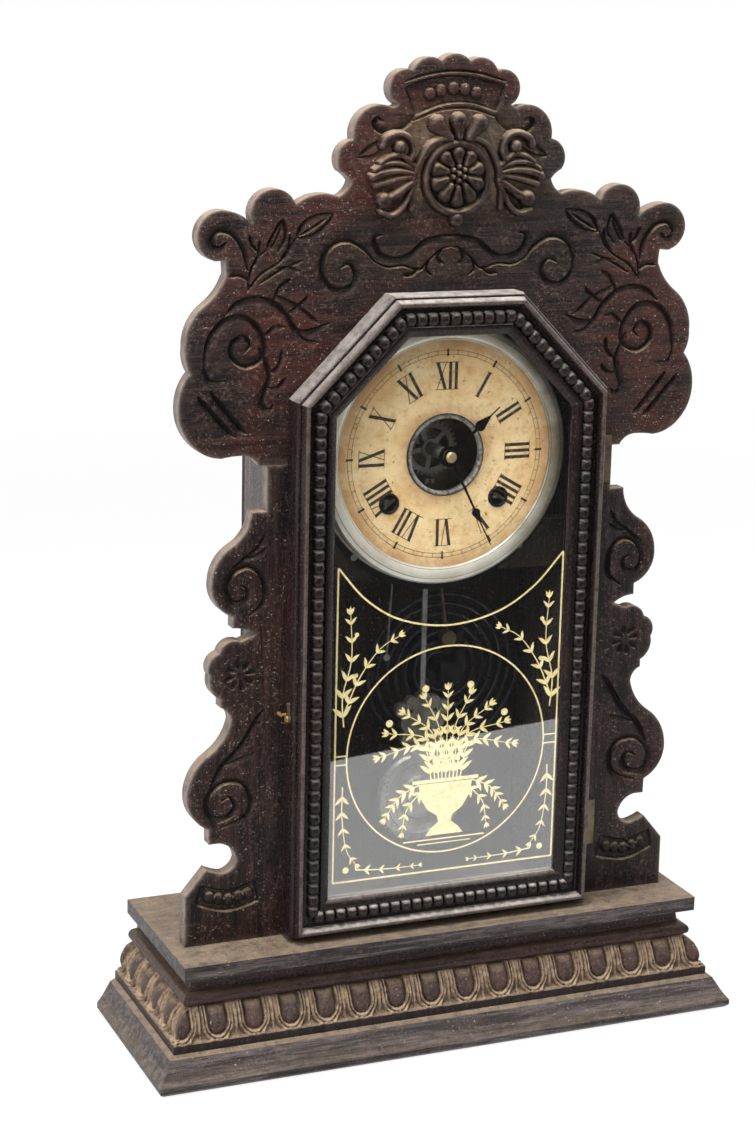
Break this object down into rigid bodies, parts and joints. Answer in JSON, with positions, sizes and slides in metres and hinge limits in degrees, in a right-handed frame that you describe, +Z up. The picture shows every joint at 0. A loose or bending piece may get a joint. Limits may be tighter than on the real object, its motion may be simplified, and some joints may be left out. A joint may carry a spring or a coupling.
{
  "type": "carved shelf clock",
  "caption": "Carved dark oak shelf clock with a glazed door, striking movement, coil gong and pendulum.",
  "frame": {"origin": "middle of the base on the surface it stands on", "axes": "+X to the right as seen from the front, +Y from the dial to the back board, +Z up"},
  "size_m": [0.3654, 0.1264, 0.5715],
  "materials": {
    "oak_dark": "stained dark, old crazed varnish",
    "oak_red": "reddish brown under worn varnish",
    "case_wood": "plain stained softwood",
    "back_wood": "raw aged board",
    "nickel": "aged nickel plate",
    "dial_paper": "yellowed print with stains",
    "brass": "dull rolled brass",
    "brass_aged": "pressed brass, tarnished",
    "steel": "turned steel",
    "blued_steel": "blued wire and spring",
    "hand_black": "black paint",
    "iron": "japanned",
    "glass": "old window glass with gold print on its back"
  },
  "bodies": {
    "case": {"base_box": "case_wood", "foot_moulding": "oak_dark", "egg_band": "oak_dark", "bead_moulding": "oak_dark", "base_plate": "oak_dark", "front_top_board": "oak_red", "front_left_board": "oak_dark", "front_right_board": "oak_dark", "front_bottom_rail": "oak_dark", "crown_rosette": "oak_red", "case_side_left": "oak_dark", "case_side_right": "oak_dark", "case_top": "oak_dark", "back_board": "back_wood", "dial_blocks": "case_wood", "dial_pan": "nickel", "dial_paper": "dial_paper", "dial_eyelets": "nickel", "wood_screws": "steel", "case_hinge_leaves": "brass_aged", "catch_eye": "brass_aged", "front_plate": "brass", "back_plate": "brass", "movement_pillars": "brass", "plate_studs": "brass", "mainsprings": "blued_steel", "gong_stand": "iron", "gong_coil": "blued_steel"},
    "door": {"door_bottom_rail": "oak_dark", "door_right_stile": "oak_dark", "door_right_diagonal": "oak_dark", "door_top_rail": "oak_dark", "door_left_diagonal": "oak_dark", "door_left_stile": "oak_dark", "door_glass": "glass", "glass_strips": "case_wood", "door_hinge_leaves": "brass_aged", "catch_screw": "brass_aged"},
    "hook": {"catch_hook": "brass_aged"},
    "minute_group": {"minute_hand": "hand_black", "hand_nut": "brass", "cannon_pinion": "brass"},
    "hour_group": {"hour_hand": "hand_black", "hour_wheel": "steel"},
    "minute_wheel_group": {"minute_wheel": "brass"},
    "time_great": {"time_great_wheel": "brass"},
    "time_arbor": {"time_winding_arbor": "steel"},
    "second": {"second_wheel": "brass"},
    "centre": {"centre_wheel": "brass"},
    "third": {"third_wheel": "brass"},
    "escape": {"escape_wheel": "brass"},
    "verge_group": {"verge": "steel"},
    "pendulum": {"pendulum_rod": "steel", "pendulum_bob": "brass_aged"},
    "strike_great": {"strike_great_wheel": "brass"},
    "strike_arbor": {"strike_winding_arbor": "steel"},
    "lifting": {"lifting_wheel": "brass"},
    "fly_group": {"fly": "brass"},
    "hammer": {"gong_hammer": "brass"},
    "trip": {"trip_wire": "steel"}
  },
  "joints": [
    {"name": "door_hinge", "type": "hinge", "parent": "case", "child": "door", "pos_m": [0.0975, -0.02105, 0.07], "axis": [0, 0, 1], "range_deg": [0, 100]},
    {"name": "catch_turn", "type": "hinge", "parent": "door", "child": "hook", "pos_m": [-0.0964, -0.02835, 0.2032], "axis": [-1, 0, 0], "range_deg": [0, 60]},
    {"name": "minute_hand_turn", "type": "hinge", "parent": "case", "child": "minute_group", "pos_m": [0, -0.02585, 0.348], "axis": [0, 1, 0], "continuous": true},
    {"name": "minute_wheel_turn", "type": "hinge", "parent": "case", "child": "minute_wheel_group", "pos_m": [-0.01414, 0.00815, 0.36214], "axis": [0, 1, 0], "continuous": true},
    {"name": "hour_hand_turn", "type": "hinge", "parent": "case", "child": "hour_group", "pos_m": [0, -0.02285, 0.348], "axis": [0, 1, 0], "continuous": true},
    {"name": "third_wheel_turn", "type": "hinge", "parent": "case", "child": "third", "pos_m": [0, 0.01915, 0.326], "axis": [0, 1, 0], "continuous": true},
    {"name": "centre_wheel_turn", "type": "hinge", "parent": "case", "child": "centre", "pos_m": [0, 0.02215, 0.348], "axis": [0, 1, 0], "continuous": true},
    {"name": "second_wheel_turn", "type": "hinge", "parent": "case", "child": "second", "pos_m": [0.02447, 0.02615, 0.35205], "axis": [0, 1, 0], "continuous": true},
    {"name": "time_great_wheel_turn", "type": "hinge", "parent": "case", "child": "time_great", "pos_m": [0.034, 0.03015, 0.3215], "axis": [0, 1, 0], "continuous": true},
    {"name": "escape_wheel_turn", "type": "hinge", "parent": "case", "child": "escape", "pos_m": [0, 0.01115, 0.3063], "axis": [0, 1, 0], "continuous": true},
    {"name": "time_winding", "type": "hinge", "parent": "time_great", "child": "time_arbor", "pos_m": [0.034, 0.01115, 0.3215], "axis": [0, 1, 0], "range_deg": [0, 2160]},
    {"name": "pendulum_swing", "type": "hinge", "parent": "case", "child": "pendulum", "pos_m": [0, 0.00465, 0.3213], "axis": [0, 1, 0], "range_deg": [-3, 3]},
    {"name": "crutch_swing", "type": "hinge", "parent": "case", "child": "verge_group", "pos_m": [0, 0.00915, 0.3213], "axis": [0, 1, 0], "range_deg": [-3, 3]},
    {"name": "lifting_wheel_turn", "type": "hinge", "parent": "case", "child": "lifting", "pos_m": [-0.02447, 0.02615, 0.35205], "axis": [0, 1, 0], "continuous": true},
    {"name": "strike_great_wheel_turn", "type": "hinge", "parent": "case", "child": "strike_great", "pos_m": [-0.034, 0.03015, 0.3215], "axis": [0, 1, 0], "continuous": true},
    {"name": "fly_turn", "type": "hinge", "parent": "case", "child": "fly_group", "pos_m": [-0.0278, 0.03115, 0.37096], "axis": [0, 1, 0], "continuous": true},
    {"name": "strike_winding", "type": "hinge", "parent": "strike_great", "child": "strike_arbor", "pos_m": [-0.034, 0.01115, 0.3215], "axis": [0, 1, 0], "range_deg": [0, 2160]},
    {"name": "hammer_lift", "type": "hinge", "parent": "case", "child": "hammer", "pos_m": [0.014, 0.02415, 0.294], "axis": [0, 1, 0], "range_deg": [0, 12]},
    {"name": "trip_pull", "type": "hinge", "parent": "case", "child": "trip", "pos_m": [-0.014, 0.01765, 0.294], "axis": [0, 1, 0], "range_deg": [0, 10]}
  ],
  "couplings": [
    {"joint": "minute_wheel_turn", "follows": "minute_hand_turn", "ratio": -0.33333},
    {"joint": "hour_hand_turn", "follows": "minute_hand_turn", "ratio": 0.083333},
    {"joint": "centre_wheel_turn", "follows": "third_wheel_turn", "ratio": -0.1},
    {"joint": "second_wheel_turn", "follows": "third_wheel_turn", "ratio": 0.024},
    {"joint": "time_great_wheel_turn", "follows": "third_wheel_turn", "ratio": -0.0034286},
    {"joint": "escape_wheel_turn", "follows": "third_wheel_turn", "ratio": -12},
    {"joint": "crutch_swing", "follows": "pendulum_swing", "ratio": 1},
    {"joint": "strike_great_wheel_turn", "follows": "lifting_wheel_turn", "ratio": -0.14286},
    {"joint": "fly_turn", "follows": "lifting_wheel_turn", "ratio": -5}
  ]
}
